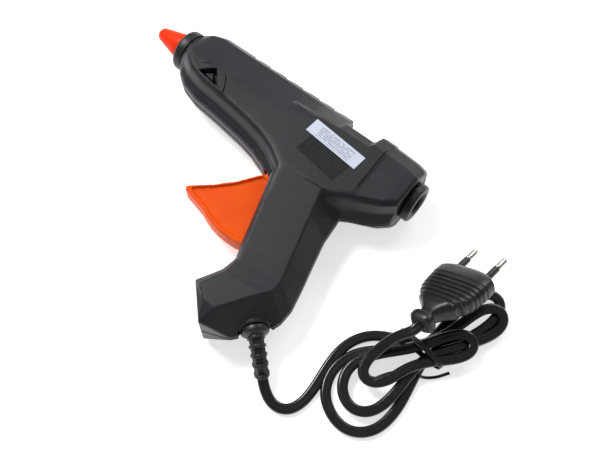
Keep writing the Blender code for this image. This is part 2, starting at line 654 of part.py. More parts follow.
def return_spring():
    """A tension spring between the carriage's post and the housing's post."""
    steel = material("spring_steel", (0.48, 0.49, 0.51), 0.3, 1.0)
    wire, coil, turns, per_turn = 0.4, 2.3, 7, 10
    hook_r = 2.1
    top = 1.6
    path = []
    for i in range(8):
        x, y = polar(CARRIAGE_POST, hook_r, 150.0 - 270.0 * i / 7 - 240.0)
        path.append((x, y, SIDE + top))
    start, end = CARRIAGE_POST[0] + 4.6, SPRING_POST[0] - 4.6
    steps = turns * per_turn
    for i in range(steps + 1):
        angle = 2.0 * math.pi * i / per_turn
        x = start + (end - start) * i / steps
        path.append((x, CARRIAGE_POST[1] + coil * math.sin(angle),
                     SIDE + top - coil + coil * math.cos(angle)))
    for i in range(8):
        x, y = polar(SPRING_POST, hook_r, 150.0 + 270.0 * i / 7)
        path.append((x, y, SIDE + top))
    sweep("return_spring", path, wire, steel, 1)


# ---------------------------------------------------------------------------- fasteners and wiring

def screws():
    steel = material("screw_steel", (0.25, 0.25, 0.27), 0.35, 1.0)
    for index, (centre, seat, _, _) in enumerate(SCREWS):
        head = circle(centre, 2.6, 12)
        shank = circle(centre, 1.2, 12)
        levels = [(head, -seat - 2.2), (head, -seat - 0.1), (shank, -seat - 0.1), (shank, SCREW_TIP)]
        rings = [[(x, y, SIDE + z) for x, y in outline] for outline, z in levels]
        screw = loft("housing_screw_%d" % (index + 1), rings, steel)
        slot = [((centre[0] - 1.5, centre[1] - 0.3, -seat - 3.0),
                 (centre[0] + 1.5, centre[1] + 0.3, -seat - 1.4))]
        cut(screw, boxes("driver_slot_%d" % index, slot))
    for index, side in enumerate((-1, 1)):
        centre = clamp_screw(side)
        levels = [(circle(centre, 2.4, SMALL), -6.6), (circle(centre, 2.4, SMALL), -4.9),
                  (circle(centre, 1.15, SMALL), -4.9), (circle(centre, 1.15, SMALL), 10.0)]
        loft("cord_clamp_screw_%d" % (index + 1),
             [[(x, y, SIDE + z) for x, y in outline] for outline, z in levels], steel)


def cord_clamp():
    black = material("black_plastic", (0.030, 0.032, 0.036), 0.5)
    outline = [gland_frame(a, c) for a, c in ((-20.4, -9.4), (-14.6, -9.4), (-14.6, 9.4), (-20.4, 9.4))]
    bar = prism("cord_clamp", outline, -4.6, -0.2, black)
    cut(bar, gland_turned("clamp_groove", [(-22.0, CORD_R + 0.4), (-12.0, CORD_R + 0.4)], SMALL))
    for side in (-1, 1):
        cut(bar, pillar("clamp_bore%d" % side, clamp_screw(side), 1.45, -8.0, 3.0))


def wiring():
    jacket = material("cord_pvc", (0.02, 0.02, 0.022), 0.3)
    start, end = gland_frame(-10.2), gland_frame(-22.6)
    sweep("cord_tail", [(*start, SIDE), (*end, SIDE)], CORD_R, jacket, 2)
    brown = material("brown_wire", (0.20, 0.07, 0.02), 0.4)
    blue = material("blue_wire", (0.02, 0.09, 0.35), 0.4)
    first = gland_frame(-23.9, -1.25)
    second = gland_frame(-23.9, 1.25)
    layer = SIDE - 10.1
    near = [(*first, SIDE), (51.0, -93.8, SIDE - 0.8), (51.9, -88.0, SIDE - 6.0), (51.0, -79.0, layer),
            (46.0, -64.0, layer), (41.0, -50.0, layer), (36.0, -36.0, layer), (27.5, -28.4, layer),
            (14.0, -26.6, layer), (2.0, -20.6, layer + 0.8), (-10.0, -16.4, layer + 1.0),
            (-19.0, -13.2, layer + 4.4), (-23.4, -11.6, SIDE - 2.6)]
    far = [(*second, SIDE), (53.0, -91.4, SIDE - 0.8), (55.4, -86.8, SIDE - 6.0),
           (54.8, -78.4, layer), (49.8, -63.0, layer), (44.8, -48.6, layer), (40.2, -34.0, layer),
           (30.6, -24.8, layer), (15.0, -22.8, layer), (4.0, -17.0, layer + 0.8),
           (-9.0, -13.0, layer + 1.2), (-18.6, -11.6, layer + 8.6), (-23.4, -11.6, SIDE + 2.0)]
    sweep("live_wire", smooth_route(near, 6.0), 1.0, brown, 1)
    sweep("neutral_wire", smooth_route(far, 6.0), 1.0, blue, 1)


# ---------------------------------------------------------------------------- cord, hank and plug

RELIEF_END = 19.0
RELIEF_SIDES = 16
CORD_ROUTE = [(84.6, -124.2, 6.9), (88.0, -127.0, 4.6), (92.0, -129.6, 2.6), (97.4, -131.0, 2.1),
              (103.2, -129.4, 2.1), (107.0, -124.6, 2.1), (108.6, -116.6, 2.1),
              (108.4, -107.4, 2.1), (107.2, -98.6, 2.1), (106.4, -90.0, 2.1), (107.0, -81.8, 2.1),
              (109.8, -74.6, 2.1), (114.4, -69.2, 2.1), (120.2, -65.6, 2.1), (126.4, -63.0, 2.1)]
HANK_HEIGHT = 8.0
LOW_LOOP = ((131.5, -96.0), 20.5)
TOP_LOOP = ((151.0, -27.0), 13.0)
TIE = (141.0, -63.0)


def strain_relief():
    """A flange held in the handle, then a segmented sleeve that droops under the cord."""
    black = material("relief_pvc", (0.025, 0.025, 0.028), 0.45)
    axis = Vector((*GLAND_DIR, 0.0))
    rings = []
    for along, radius in ((-9.2, 6.6), (-6.8, 6.6), (-6.8, 4.2), (-3.2, 4.2), (-3.2, 7.4),
                          (-1.0, 7.4), (0.2, 6.6), (0.2, 4.9)):
        rings.append(ring_at((GLAND[0], GLAND[1], SIDE), axis, along, radius, RELIEF_SIDES))
    segments = 4
    for k in range(segments):
        for offset, radius in ((0.9, 4.8), (3.4, 4.6), (3.5, 3.7), (4.5, 3.6)):
            along = 0.4 + k * 4.55 + offset
            t = along / RELIEF_END
            slope = 0.95 * t
            drop = 9.8 * t * t
            tilted = Vector((axis[0] * math.cos(slope), axis[1] * math.cos(slope), -math.sin(slope)))
            middle = Vector((*gland_frame(along), SIDE - drop))
            side = Vector((-axis[1], axis[0], 0.0))
            up = tilted.cross(side)
            shrink = radius - 0.8 * t
            rings.append([middle + side * (shrink * math.cos(2 * math.pi * i / RELIEF_SIDES))
                          + up * (shrink * math.sin(2 * math.pi * i / RELIEF_SIDES)) for i in range(RELIEF_SIDES)])
    loft("strain_relief", rings, black)


def hank_outline():
    """The lower loop and the upper loop as round ends, with a waist at the tie."""
    (low, low_r), (top, top_r) = LOW_LOOP, TOP_LOOP
    outline = [polar(low, low_r, 130.0 + 235.0 * i / 14) for i in range(15)]
    outline.append((TIE[0] + 9.5, TIE[1] - 3.0))
    outline += [polar(top, top_r, -40.0 + 220.0 * i / 12) for i in range(13)]
    outline.append((TIE[0] - 9.0, TIE[1] + 5.0))
    return outline


PLUG_ORIGIN = (138.2, -15.6, 14.6)
PLUG_YAW = 84.0                  # degrees from +x
PLUG_PITCH = 14.0                # the pins point down
PLUG_ROLL = 32.0                 # its right side lies higher
PLUG_HALF = 6.6
PIN_SPACING = 18.6


def plug_axes():
    """The plug's forward, across and upward directions."""
    yaw, pitch, roll = (math.radians(a) for a in (PLUG_YAW, PLUG_PITCH, PLUG_ROLL))
    level = Vector((math.cos(yaw), math.sin(yaw), 0.0))
    forward = level * math.cos(pitch) - Vector((0.0, 0.0, math.sin(pitch)))
    flat = Vector((math.sin(yaw), -math.cos(yaw), 0.0))
    above = flat.cross(forward)
    across = flat * math.cos(roll) + above * math.sin(roll)
    return forward, across, across.cross(forward)


def plug_frame(along, across, height):
    """Plug coordinates: along to the pins, across to the right, and height off its middle."""
    axes = plug_axes()
    point = Vector(PLUG_ORIGIN) + axes[0] * along + axes[1] * across + axes[2] * height
    return tuple(point)


def plug():
    black = material("plug_pvc", (0.022, 0.022, 0.025), 0.35)
    stations = [(0.0, 14.6, 5.2), (-1.5, 17.2, 6.4), (-22.0, 17.6, PLUG_HALF), (-29.0, 12.0, 6.0),
                (-35.0, 5.6, 5.0), (-38.5, 4.6, 4.6), (-40.5, 6.4, 5.6), (-44.5, 6.0, 5.2)]
    rings = []
    for along, wide, high in stations:
        chamfer = 0.62
        shape = [(-wide, -high * chamfer), (-wide * 0.86, -high), (wide * 0.86, -high),
                 (wide, -high * chamfer), (wide, high * chamfer), (wide * 0.86, high),
                 (-wide * 0.86, high), (-wide, high * chamfer)]
        rings.append([plug_frame(along, a, b) for a, b in shape])
    loft("plug_body", rings, black)
    nickel = material("pin_nickel", (0.72, 0.71, 0.68), 0.25, 1.0)
    sleeve = material("pin_sleeve", (0.03, 0.03, 0.032), 0.4)
    forward = plug_axes()[0]
    for tag, side in (("left", -1), ("right", 1)):
        origin = plug_frame(0.0, side * PIN_SPACING / 2, 0.0)
        turned("plug_pin_sleeve_" + tag, [(GAP, 1.95), (10.0, 1.95)], sleeve, origin, forward, SMALL)
        turned("plug_pin_" + tag, [(10.3, 1.9), (17.6, 2.0), (19.0, 1.2)], nickel, origin, forward,
               SMALL)


def cord_and_hank():
    jacket = material("cord_pvc", (0.02, 0.02, 0.022), 0.3)
    sweep("cord", smooth_route(CORD_ROUTE, 4.2), CORD_R, jacket, 2)
    prism("cord_hank", hank_outline(), 0.2 - SIDE, HANK_HEIGHT - SIDE, jacket)
    band = material("tie_band", (0.015, 0.015, 0.016), 0.35)
    across = Vector((0.90, -0.43))
    along = Vector((0.43, 0.90))
    outline = [tuple(Vector(TIE) + across * a + along * b)
               for a, b in ((-14.5, -2.0), (14.5, -2.0), (14.5, 2.0), (-14.5, 2.0))]
    prism("cable_tie", outline, HANK_HEIGHT + GAP - SIDE, HANK_HEIGHT + 1.5 - SIDE, band)


def label():
    paper = material("rating_label", (0.80, 0.83, 0.90), 0.45)
    skew = math.radians(-6.0)
    middle = (40.6, -5.4)
    corners = [(-17.6, -4.6), (17.6, -4.6), (17.6, 4.6), (-17.6, 4.6)]
    outline = [(middle[0] + a * math.cos(skew) - b * math.sin(skew),
                middle[1] + a * math.sin(skew) + b * math.cos(skew)) for a, b in corners]
    prism("rating_label", outline, SIDE + 0.05, SIDE + 0.25, paper)


clear_scene()
ASSEMBLY = bpy.data.objects.new("glue_gun", None)
bpy.context.scene.collection.objects.link(ASSEMBLY)
ASSEMBLY.location = (CENTRE[0] * MM, CENTRE[1] * MM, 0.0)
CASE = material("housing_plastic", (0.045, 0.048, 0.055), 0.45)
housing_half("housing_left", 1, CASE)
housing_half("housing_right", -1, CASE)
hot_end()
trigger()
feed_carriage()
grip_lever()
return_spring()
screws()
cord_clamp()
wiring()
strain_relief()
cord_and_hank()
plug()
label()
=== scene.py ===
"""Glue gun lying on its right side with a hanked cord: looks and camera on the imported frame.

Shapes are in millimetres in the gun's own frame, as in part.py, and become metres when made.
"""
import math

import bmesh
import bpy
import numpy as np
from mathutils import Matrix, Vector

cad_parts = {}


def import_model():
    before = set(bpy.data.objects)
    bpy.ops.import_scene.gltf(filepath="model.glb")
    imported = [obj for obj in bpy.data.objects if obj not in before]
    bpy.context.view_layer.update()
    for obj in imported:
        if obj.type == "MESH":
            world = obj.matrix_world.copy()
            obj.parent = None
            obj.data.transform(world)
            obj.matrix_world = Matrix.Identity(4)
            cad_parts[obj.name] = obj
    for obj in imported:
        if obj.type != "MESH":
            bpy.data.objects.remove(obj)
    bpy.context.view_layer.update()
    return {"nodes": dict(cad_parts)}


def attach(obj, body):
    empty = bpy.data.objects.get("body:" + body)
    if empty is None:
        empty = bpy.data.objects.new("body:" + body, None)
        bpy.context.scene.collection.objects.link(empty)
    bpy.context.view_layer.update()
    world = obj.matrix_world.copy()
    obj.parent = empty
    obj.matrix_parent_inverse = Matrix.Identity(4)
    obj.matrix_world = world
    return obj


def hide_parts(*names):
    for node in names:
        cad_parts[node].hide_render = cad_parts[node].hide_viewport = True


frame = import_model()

MM = 0.001
CENTRE = Vector((-0.25, 53.5, 0.0))
SIDE = 17.0
NODES = frame["nodes"]


def world(point):
    """Gun millimetres to the frame's metres."""
    return (Vector(point) + CENTRE) * MM


# ------------------------------------------------------------------ camera, floor and light

CAMERA_PLACE = (175.84, -209.68, 455.08)
CAMERA_TILT, CAMERA_TURN = math.radians(25.0), math.radians(37.98)
SENSOR_WIDTH = 36.0
LENS = 54.0
FLOOR_HALF = 3.0                  # metres
FLOOR_DROP = 0.0002               # metres below the table plane, clear of the lowest pieces
FLOOR_GLOW = 0.62
SKY_STRENGTH = 0.26


def make_camera():
    data = bpy.data.cameras.new("camera")
    data.sensor_width = SENSOR_WIDTH
    data.lens = LENS
    data.clip_start = 0.01
    camera = bpy.data.objects.new("camera", data)
    bpy.context.scene.collection.objects.link(camera)
    camera.location = world(CAMERA_PLACE)
    camera.rotation_euler = (CAMERA_TILT, 0.0, CAMERA_TURN)
    bpy.context.scene.camera = camera


def area_light(name, location, target, size, power, colour=(1.0, 1.0, 1.0)):
    data = bpy.data.lights.new(name, "AREA")
    data.shape = "SQUARE"
    data.size = size
    data.energy = power
    data.color = colour
    lamp = bpy.data.objects.new(name, data)
    bpy.context.scene.collection.objects.link(lamp)
    lamp.location = location
    aim = Vector(target) - Vector(location)
    lamp.rotation_euler = aim.to_track_quat("-Z", "Y").to_euler()


def make_stage():
    bm = bmesh.new()
    bm.faces.new([bm.verts.new((x * FLOOR_HALF, y * FLOOR_HALF, -FLOOR_DROP))
                  for x, y in ((-1, -1), (1, -1), (1, 1), (-1, 1))])
    mesh = bpy.data.meshes.new("floor")
    bm.to_mesh(mesh)
    floor = bpy.data.objects.new("floor", mesh)
    bpy.context.scene.collection.objects.link(floor)
    mat = bpy.data.materials.new("floor_white")
    mat.use_nodes = True
    shader = mat.node_tree.nodes["Principled BSDF"]
    shader.inputs["Base Color"].default_value = (0.93, 0.93, 0.93, 1.0)
    shader.inputs["Roughness"].default_value = 0.9
    shader.inputs["Emission Color"].default_value = (1.0, 1.0, 1.0, 1.0)
    shader.inputs["Emission Strength"].default_value = FLOOR_GLOW
    mesh.materials.append(mat)
    world_data = bpy.data.worlds.new("studio")
    world_data.use_nodes = True
    ground = world_data.node_tree.nodes["Background"]
    ground.inputs["Color"].default_value = (1.0, 1.0, 1.0, 1.0)
    ground.inputs["Strength"].default_value = SKY_STRENGTH
    bpy.context.scene.world = world_data
    bpy.context.scene.view_settings.view_transform = "Standard"
    area_light("key", (-0.80, 0.10, 1.10), (0.0, 0.0, 0.0), 0.5, 15.0)
    area_light("back", (0.0, 1.1, 0.7), (0.0, 0.0, 0.0), 0.6, 4.5)


# ------------------------------------------------------------------ materials

class Nodes:
    """Short names for building a material's node tree."""

    def __init__(self, name, colour, roughness, metallic=0.0, coat=0.0, specular=0.5):
        self.mat = bpy.data.materials.new(name)
        self.mat.use_nodes = True
        self.tree = self.mat.node_tree
        self.shader = self.tree.nodes["Principled BSDF"]
        self.shader.inputs["Base Color"].default_value = (*colour, 1.0)
        self.shader.inputs["Roughness"].default_value = roughness
        self.shader.inputs["Metallic"].default_value = metallic
        self.shader.inputs["Coat Weight"].default_value = coat
        self.shader.inputs["Specular IOR Level"].default_value = specular
        self.coords = self.tree.nodes.new("ShaderNodeTexCoord")

    def add(self, kind, **values):
        node = self.tree.nodes.new(kind)
        for key, value in values.items():
            setattr(node, key, value)
        return node

    def link(self, source, target):
        self.tree.links.new(source, target)

    def noise(self, scale, detail=3.0, roughness=0.5, stretch=None):
        node = self.add("ShaderNodeTexNoise")
        node.inputs["Scale"].default_value = scale
        node.inputs["Detail"].default_value = detail
        node.inputs["Roughness"].default_value = roughness
        source = self.coords.outputs["Object"]
        if stretch:
            mapping = self.add("ShaderNodeMapping")
            mapping.inputs["Scale"].default_value = stretch
            self.link(source, mapping.inputs["Vector"])
            source = mapping.outputs["Vector"]
        self.link(source, node.inputs["Vector"])
        return node.outputs["Fac"]

    def remap(self, source, low, high, out_low, out_high):
        node = self.add("ShaderNodeMapRange")
        for index, value in enumerate((low, high, out_low, out_high), start=1):
            node.inputs[index].default_value = value
        self.link(source, node.inputs[0])
        return node.outputs[0]

    def math(self, operation, a, b):
        node = self.add("ShaderNodeMath", operation=operation)
        for index, value in enumerate((a, b)):
            if isinstance(value, (int, float)):
                node.inputs[index].default_value = value
            else:
                self.link(value, node.inputs[index])
        return node.outputs[0]

    def mix(self, factor, dark, light):
        node = self.add("ShaderNodeMix", data_type="RGBA")
        self.link(factor, node.inputs["Factor"])
        node.inputs["A"].default_value = (*dark, 1.0)
        node.inputs["B"].default_value = (*light, 1.0)
        return node.outputs["Result"]

    def colour(self, source):
        self.link(source, self.shader.inputs["Base Color"])

    def rough(self, source):
        self.link(source, self.shader.inputs["Roughness"])

    def bump(self, height, strength, distance):
        node = self.add("ShaderNodeBump")
        node.inputs["Strength"].default_value = strength
        node.inputs["Distance"].default_value = distance
        self.link(height, node.inputs["Height"])
        self.link(node.outputs["Normal"], self.shader.inputs["Normal"])


def moulded(name, dark, light, rough_low, rough_high, grain=2600.0, strength=0.12, depth=0.00004,
            coat=0.0, specular=0.5):
    """Moulded plastic or rubber: faint mottling, uneven gloss and a fine grain."""
    n = Nodes(name, light, rough_high, coat=coat, specular=specular)
    blotch = n.noise(60.0, 4.0, 0.6)
    n.colour(n.mix(n.remap(blotch, 0.3, 0.7, 0.0, 1.0), dark, light))
    n.rough(n.remap(n.noise(260.0, 4.0, 0.65), 0.3, 0.7, rough_low, rough_high))
    n.bump(n.noise(grain, 2.0, 0.6), strength, depth)
    return n.mat


RIDGE_PITCH = 0.00135             # metres
RIDGE_TURN = math.radians(9.0)
RIDGE_MIDDLE = (40.0, -16.0, 34.0)
LABEL_MIDDLE = (40.6, -5.4, 17.0)
LABEL_TURN = math.radians(-6.0)
LINE_PITCH = 0.00125              # metres between the label's printed lines


def housing_material():
    """Black nylon: spark-eroded grain on the flat side, smoother facets, ribs under the label."""
    n = Nodes("housing_black", (0.018, 0.020, 0.025), 0.5, specular=0.34)
    blotch = n.noise(45.0, 5.0, 0.6)
    mottle = n.remap(blotch, 0.3, 0.7, 0.0, 1.0)
    n.colour(n.mix(mottle, (0.013, 0.0145, 0.018), (0.020, 0.022, 0.027)))
    split = n.add("ShaderNodeSeparateXYZ")
    n.link(n.coords.outputs["Normal"], split.inputs[0])
    place = n.add("ShaderNodeSeparateXYZ")
    n.link(n.coords.outputs["Object"], place.inputs[0])
    flat = n.remap(n.math("ABSOLUTE", split.outputs["Z"], 0.0), 0.93, 0.985, 0.0, 1.0)
    front = n.remap(place.outputs["X"], 0.020, -0.030, 0.25, 1.0)
    grain = n.noise(1150.0, 3.0, 0.7)
    pits = n.remap(grain, 0.42, 0.62, 0.0, 1.0)
    coarse = n.math("MULTIPLY", n.math("MULTIPLY", pits, flat), front)
    fine = n.math("MULTIPLY", n.noise(3200.0, 2.0, 0.5), 0.35)
    skew = n.add("ShaderNodeMapping")
    skew.inputs["Rotation"].default_value = (0.0, 0.0, RIDGE_TURN)
    n.link(n.coords.outputs["Object"], skew.inputs["Vector"])
    across = n.add("ShaderNodeSeparateXYZ")
    n.link(skew.outputs["Vector"], across.inputs[0])
    ridge = n.math("SINE", n.math("MULTIPLY", across.outputs["Y"], 2.0 * math.pi / RIDGE_PITCH), 0.0)
    centre = skew_centre()
    window_x = n.remap(n.math("ABSOLUTE", n.math("SUBTRACT", across.outputs["X"], centre[0]), 0.0),
                       0.0135, 0.0145, 1.0, 0.0)
    window_y = n.remap(n.math("ABSOLUTE", n.math("SUBTRACT", across.outputs["Y"], centre[1]), 0.0),
                       0.0062, 0.0070, 1.0, 0.0)
    side = n.remap(place.outputs["Z"], 0.030, 0.031, 0.0, 1.0)
    window = n.math("MULTIPLY", n.math("MULTIPLY", window_x, window_y),
                    n.math("MULTIPLY", side, flat))
    ribs = n.math("MULTIPLY", n.math("MULTIPLY", ridge, window), 3.2)
    n.bump(n.math("ADD", n.math("ADD", coarse, fine), ribs), 0.8, 0.00013)
    n.rough(n.remap(n.math("ADD", n.math("MULTIPLY", flat, 0.5), blotch), 0.3, 1.2, 0.36, 0.52))
    return n.mat


def skew_centre():
    """The ribbed window's middle, in the frame turned with the ribs."""
    middle = world(RIDGE_MIDDLE)
    turn = RIDGE_TURN
    return (middle.x * math.cos(turn) - middle.y * math.sin(turn),
            middle.x * math.sin(turn) + middle.y * math.cos(turn))


def label_material():
    """White film with a few generic printed lines."""
    n = Nodes("label_film", (0.72, 0.76, 0.86), 0.35, coat=0.25)
    middle = world(LABEL_MIDDLE)
    mapping = n.add("ShaderNodeMapping")
    mapping.vector_type = "TEXTURE"
    mapping.inputs["Location"].default_value = (middle.x, middle.y, 0.0)
    mapping.inputs["Rotation"].default_value = (0.0, 0.0, LABEL_TURN)
    n.link(n.coords.outputs["Object"], mapping.inputs["Vector"])
    place = n.add("ShaderNodeSeparateXYZ")
    n.link(mapping.outputs["Vector"], place.inputs[0])
    along, across = place.outputs["X"], place.outputs["Y"]
    cycle = n.math("FRACT", n.math("MULTIPLY", n.math("ADD", across, 0.1), 1.0 / LINE_PITCH), 0.0)
    row = n.math("LESS_THAN", cycle, 0.34)
    inside = n.math("MULTIPLY", n.math("LESS_THAN", n.math("ABSOLUTE", across, 0.0), 0.0036),
                    n.math("LESS_THAN", n.math("ABSOLUTE", along, 0.0), 0.0118))
    steps = n.add("ShaderNodeTexNoise")
    steps.inputs["Scale"].default_value = 900.0
    steps.inputs["Detail"].default_value = 0.0
    n.link(mapping.outputs["Vector"], steps.inputs["Vector"])
    words = n.math("GREATER_THAN", steps.outputs["Fac"], 0.42)
    ink = n.math("MULTIPLY", n.math("MULTIPLY", row, inside), words)
    n.colour(n.mix(n.math("MULTIPLY", ink, 0.8), (0.66, 0.71, 0.84), (0.06, 0.06, 0.08)))
    n.bump(n.noise(900.0, 2.0), 0.05, 0.00003)
    return n.mat


def metal(name, colour, rough_low, rough_high, stretch=None):
    n = Nodes(name, colour, rough_high, metallic=1.0)
    scratch = n.noise(900.0, 4.0, 0.6, stretch)
    dark = tuple(c * 0.72 for c in colour)
    n.colour(n.mix(n.remap(scratch, 0.3, 0.7, 0.0, 1.0), dark, colour))
    n.rough(n.remap(scratch, 0.3, 0.7, rough_low, rough_high))
    n.bump(scratch, 0.08, 0.00002)
    return n.mat


# ------------------------------------------------------------------ mesh helpers

def finish_object(name, bm, mat, smooth_angle=40.0):
    bmesh.ops.recalc_face_normals(bm, faces=bm.faces)
    for vert in bm.verts:
        vert.co = world(vert.co)
    mesh = bpy.data.meshes.new(name)
    bm.to_mesh(mesh)
    bm.free()
    obj = bpy.data.objects.new(name, mesh)
    bpy.context.scene.collection.objects.link(obj)
    if mat:
        mesh.materials.append(mat)
    shade(obj, smooth_angle)
    return obj


def shade(obj, smooth_angle=40.0):
    mesh = obj.data
    mesh.polygons.foreach_set("use_smooth", [True] * len(mesh.polygons))
    mesh.set_sharp_from_angle(angle=math.radians(smooth_angle))


def add_rings(bm, rings, close_ends=True, loop=False):
    rows = [[bm.verts.new(point) for point in ring] for ring in rings]
    pairs = list(zip(rows, rows[1:]))
    if loop:
        pairs.append((rows[-1], rows[0]))
    for low, high in pairs:
        count = len(low)
        for i in range(count):
            j = (i + 1) % count
            bm.faces.new((low[i], low[j], high[j], high[i]))
    if close_ends and not loop:
        bm.faces.new(list(reversed(rows[0])))
        bm.faces.new(rows[-1])
    return rows


def rounded_profile(points, radius, steps=3):
    """Rounds the corners of an open list of 2-D points."""
    result = [points[0]]
    for a, b, c in zip(points, points[1:], points[2:]):
        b2 = Vector(b)
        to_a, to_c = Vector(a) - b2, Vector(c) - b2
        reach = min(radius, to_a.length * 0.45, to_c.length * 0.45)
        p, q = b2 + to_a.normalized() * reach, b2 + to_c.normalized() * reach
        for i in range(steps + 1):
            t = i / steps
            result.append(tuple(p * (1 - t) ** 2 + b2 * 2 * t * (1 - t) + q * t * t))
    result.append(points[-1])
    return result


def lathe(name, profile, mat, origin, axis, radius=0.4, segments=64, closed=False):
    """Turns an (along, radius) profile about an axis, with its corners rounded."""
    axis = Vector(axis).normalized()
    side = Vector((-axis.y, axis.x, 0.0)).normalized()
    up = axis.cross(side)
    if closed:
        ring_profile = rounded_profile(list(profile) + [profile[0], profile[1]], radius)[1:-1]
    else:
        ring_profile = rounded_profile(profile, radius)
    rings = []
    for along, r in ring_profile:
        middle = Vector(origin) + axis * along
        rings.append([middle + (side * math.cos(a) + up * math.sin(a)) * r
                      for a in (2 * math.pi * i / segments for i in range(segments))])
    bm = bmesh.new()
    add_rings(bm, rings, loop=closed)
    return finish_object(name, bm, mat, 35.0)


def softened(node, mat, voxel, rounds=2):
    """A copy of a CAD node's solid with every moulded edge rounded over."""
    source = NODES[node]
    obj = bpy.data.objects.new(node + "_moulded", source.data.copy())
    bpy.context.scene.collection.objects.link(obj)
    bm = bmesh.new()
    bm.from_mesh(obj.data)
    bmesh.ops.remove_doubles(bm, verts=bm.verts, dist=1e-6)
    bm.to_mesh(obj.data)
    bm.free()
    remesh = obj.modifiers.new("remesh", "REMESH")
    remesh.mode = "VOXEL"
    remesh.voxel_size = voxel * MM
    relax = obj.modifiers.new("relax", "SMOOTH")
    relax.factor = 0.5
    relax.iterations = rounds
    apply_modifiers(obj)
    obj.data.materials.clear()
    obj.data.materials.append(mat)
    obj.data.polygons.foreach_set("use_smooth", [True] * len(obj.data.polygons))
    return obj


def apply_modifiers(obj):
    depsgraph = bpy.context.evaluated_depsgraph_get()
    mesh = bpy.data.meshes.new_from_object(obj.evaluated_get(depsgraph))
    obj.modifiers.clear()
    old = obj.data
    obj.data = mesh
    bpy.data.meshes.remove(old)


def smooth_route(points, spacing):
    """Points at even spacing on a Catmull-Rom curve through the given ones."""
    pts = [Vector(p) for p in points]
    pts = [pts[0] * 2 - pts[1]] + pts + [pts[-1] * 2 - pts[-2]]
    dense = []
    for a, b, c, d in zip(pts, pts[1:], pts[2:], pts[3:]):
        for i in range(16):
            t = i / 16
            dense.append(0.5 * ((2 * b) + (c - a) * t + (2 * a - 5 * b + 4 * c - d) * t * t
                                + (3 * b - 3 * c + d - a) * t ** 3))
    dense.append(pts[-2])
    lengths = [0.0]
    for p, q in zip(dense, dense[1:]):
        lengths.append(lengths[-1] + (q - p).length)
    count = max(2, round(lengths[-1] / spacing))
    route = []
    k = 0
    for i in range(count + 1):
        target = lengths[-1] * i / count
        while k < len(dense) - 2 and lengths[k + 1] < target:
            k += 1
        span = max(lengths[k + 1] - lengths[k], 1e-9)
        route.append(dense[k].lerp(dense[k + 1], (target - lengths[k]) / span))
    return route


def relaxed(route, rounds):
    for _ in range(rounds):
        inner = [(a + b * 2 + c) / 4 for a, b, c in zip(route, route[1:], route[2:])]
        route = [route[0]] + inner + [route[-1]]
    return route


# ------------------------------------------------------------------ cord and hank

# The free run has its own points. They lie within 1.7 mm of part.py's CORD_ROUTE.
CORD_WIDTH = 5.8
CORD_THICK = 3.2
FREE_RUN = [(83.9, -123.5, 7.6), (87.6, -126.8, 4.6), (92.4, -130.2, 2.6), (98.6, -131.6, 1.8),
            (104.4, -129.6, 1.8), (107.8, -123.6, 1.8), (108.6, -114.6, 1.8),
            (107.6, -104.6, 1.8), (106.6, -95.0, 1.8), (106.8, -86.4, 1.8), (109.2, -78.4, 1.8),
            (113.8, -71.6, 1.8), (120.4, -66.8, 1.8), (128.0, -63.4, 1.8)]
LOW = Vector((131.5, -96.0))
ALONG = Vector((0.272, 0.962))
ACROSS = Vector((0.962, -0.272))
# along, across and height of the hank's turns, from the first pass of the tie
TURNS = [(39.0, -2.0, 1.8), (52.0, -3.6, 1.8), (66.0, -6.4, 1.8), (79.0, -7.0, 1.8),
         (87.4, -2.0, 1.8), (86.6, 5.0, 1.8), (78.0, 9.0, 1.9), (64.0, 9.0, 2.0), (50.0, 6.4, 2.2),
         (35.0, 3.4, 2.4), (21.0, 9.0, 1.9), (6.0, 15.6, 1.8), (-9.0, 17.4, 1.8),
         (-19.6, 11.0, 1.8), (-22.6, 0.0, 1.8), (-18.6, -12.6, 1.8), (-6.6, -20.4, 1.9),
         (8.0, -19.4, 2.6), (22.0, -10.6, 4.4),
         (35.0, -3.2, 5.2), (50.0, 0.4, 5.0), (64.0, 0.8, 5.0), (77.0, 1.6, 5.0), (83.6, 7.6, 4.6),
         (79.6, 14.0, 3.6), (69.0, 14.6, 3.6), (52.0, 9.8, 5.0), (35.0, 4.4, 5.6), (21.0, 6.0, 5.2),
         (7.0, 9.6, 5.0), (-6.0, 9.4, 4.6), (-13.0, 2.0, 4.6), (-10.8, -9.0, 4.8),
         (0.0, -15.8, 5.2), (14.0, -12.6, 6.4), (27.0, -5.6, 8.0), (38.0, -1.0, 8.4),
         (49.0, 2.0, 8.2), (57.0, 5.6, 8.2), (60.4, 11.4, 7.8), (54.6, 16.4, 7.2),
         (44.0, 13.4, 8.0), (34.0, 7.4, 8.8), (22.0, 3.0, 8.4), (11.0, 2.4, 8.2),
         (2.4, -1.4, 8.2), (1.0, -8.6, 8.2), (8.0, -12.4, 9.2), (17.0, -12.6, 13.0),
         (26.0, -11.2, 19.4)]


def hank_point(along, across, height):
    flat = LOW + ALONG * along + ACROSS * across
    return (flat.x, flat.y, height)


